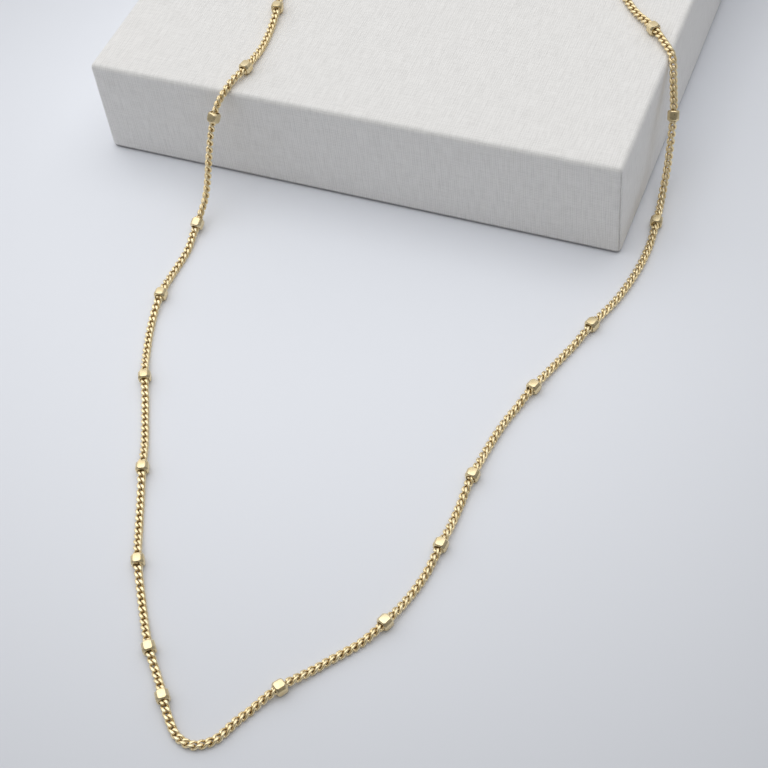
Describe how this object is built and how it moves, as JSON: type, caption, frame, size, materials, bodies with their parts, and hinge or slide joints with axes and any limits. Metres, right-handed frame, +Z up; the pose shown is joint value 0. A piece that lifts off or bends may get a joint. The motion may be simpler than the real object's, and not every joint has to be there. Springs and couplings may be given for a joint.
{
  "type": "beaded chain necklace on a display box",
  "caption": "Fine gold curb chain necklace threaded with small faceted beads, closed by a barrel clasp and lying over a low linen-covered display box.",
  "frame": {"origin": "centre of the display box's underside, on the table", "axes": "+Z up from the table; -Y points to the side where the front of the necklace lies on the table; the clasp is at +Y on top of the box; +X to the right seen from the front"},
  "size_m": [0.0904, 0.1793, 0.0198],
  "materials": {
    "linen_cover": "fine pale grey linen weave, matte",
    "gold_chain": "polished gold plate",
    "gold_beads": "polished gold plate, flat facets",
    "gold_clasp": "polished gold plate"
  },
  "bodies": {
    "root": {"display_box": "linen_cover", "chain": "gold_chain", "clasp": "gold_clasp", "bead_01": "gold_beads", "bead_02": "gold_beads", "bead_03": "gold_beads", "bead_04": "gold_beads", "bead_05": "gold_beads", "bead_06": "gold_beads", "bead_07": "gold_beads", "bead_08": "gold_beads", "bead_09": "gold_beads", "bead_10": "gold_beads", "bead_11": "gold_beads", "bead_12": "gold_beads", "bead_13": "gold_beads", "bead_14": "gold_beads", "bead_15": "gold_beads", "bead_16": "gold_beads", "bead_17": "gold_beads", "bead_18": "gold_beads", "bead_19": "gold_beads", "bead_20": "gold_beads", "bead_21": "gold_beads", "bead_22": "gold_beads", "bead_23": "gold_beads", "bead_24": "gold_beads", "bead_25": "gold_beads", "bead_26": "gold_beads", "bead_27": "gold_beads", "bead_28": "gold_beads"}
  },
  "joints": []
}
